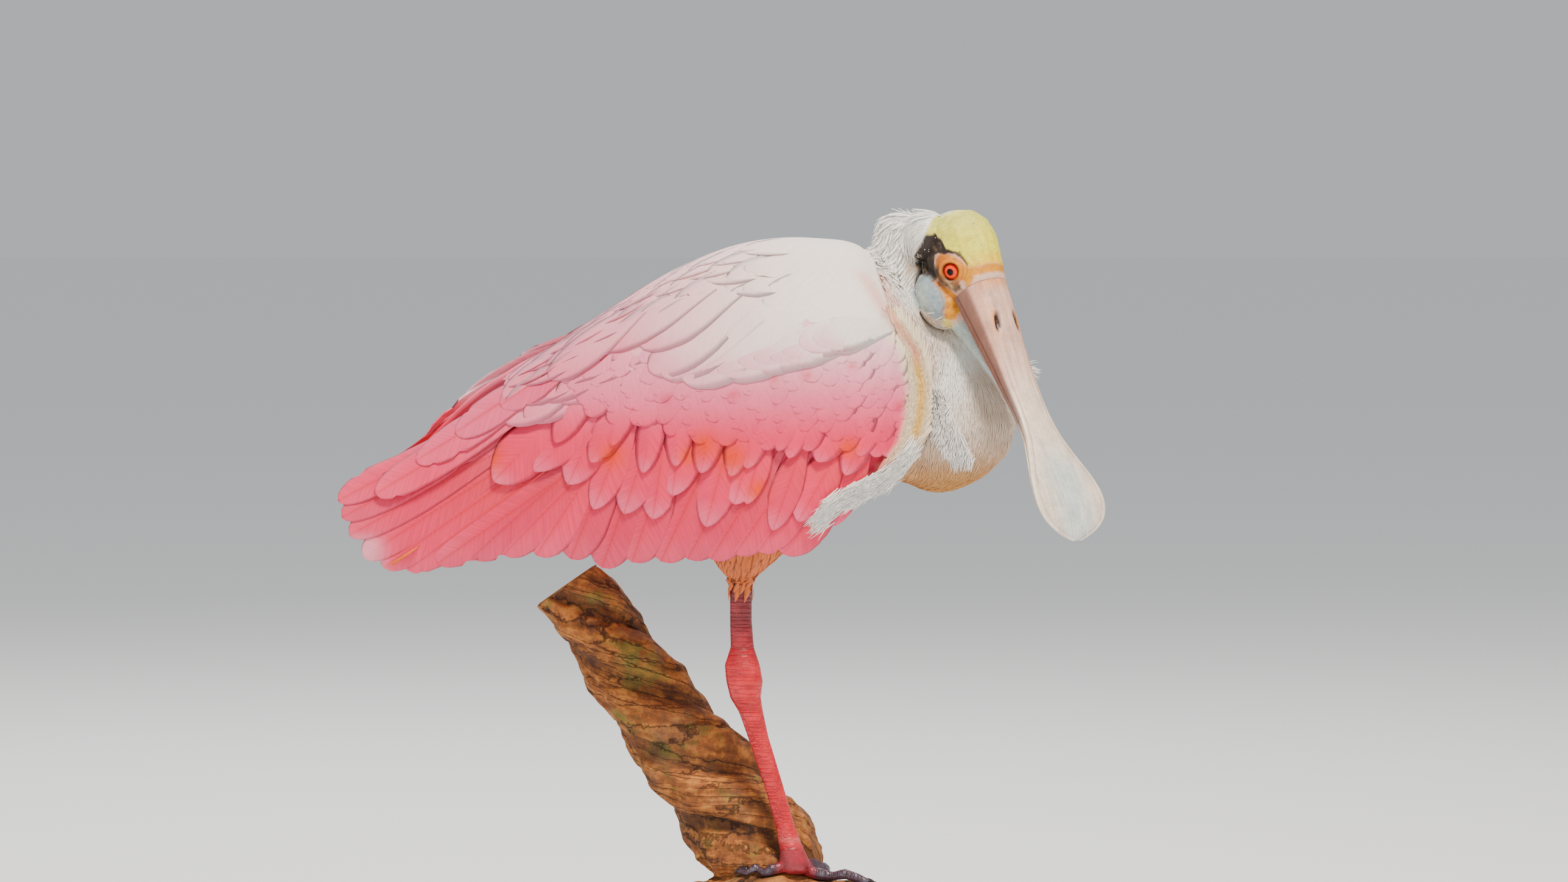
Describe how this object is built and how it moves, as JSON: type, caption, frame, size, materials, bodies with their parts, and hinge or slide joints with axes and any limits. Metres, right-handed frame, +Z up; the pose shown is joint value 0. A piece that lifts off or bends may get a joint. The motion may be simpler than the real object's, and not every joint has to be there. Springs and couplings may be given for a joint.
{
  "type": "roseate spoonbill on a perch",
  "caption": "Life-size roseate spoonbill, head turned, on one leg with wings folded, gripping a short cut length of vine held by a plain display stand.",
  "frame": {"origin": "centre of the display base's underside, where it rests on the floor", "axes": "+X the way the bird's body faces, +Y to the bird's left, +Z up"},
  "size_m": [0.465, 0.1987, 0.506],
  "materials": {
    "body_plumage": "soft pale pink body feathers",
    "neck_plumage": "soft off-white feathers",
    "wing_feathers": "smooth pink vanes with red flecks",
    "tail_feathers": "smooth orange vanes",
    "bare_skin": "bare greenish-yellow skin with a black band",
    "bill": "satin grey-pink horn",
    "eye": "wet red iris with a black pupil",
    "leg_skin": "scaled red skin, grey-purple toes",
    "vine_bark": "rough brown bark with lichen",
    "base_wood": "dark oiled wood",
    "rod_metal": "satin"
  },
  "bodies": {
    "root": {"torso": "body_plumage", "neck": "neck_plumage", "head": "bare_skin", "bill_upper": "bill", "bill_lower": "bill", "eye_left": "eye", "eye_right": "eye", "wing_left": "wing_feathers", "wing_right": "wing_feathers", "tail": "tail_feathers", "thigh_right": "body_plumage", "leg_right": "leg_skin", "foot_right": "leg_skin", "thigh_left": "body_plumage", "leg_left": "leg_skin", "foot_left": "leg_skin", "perch": "vine_bark", "stand_base": "base_wood", "stand_rod_1": "rod_metal", "stand_rod_2": "rod_metal"}
  },
  "joints": []
}
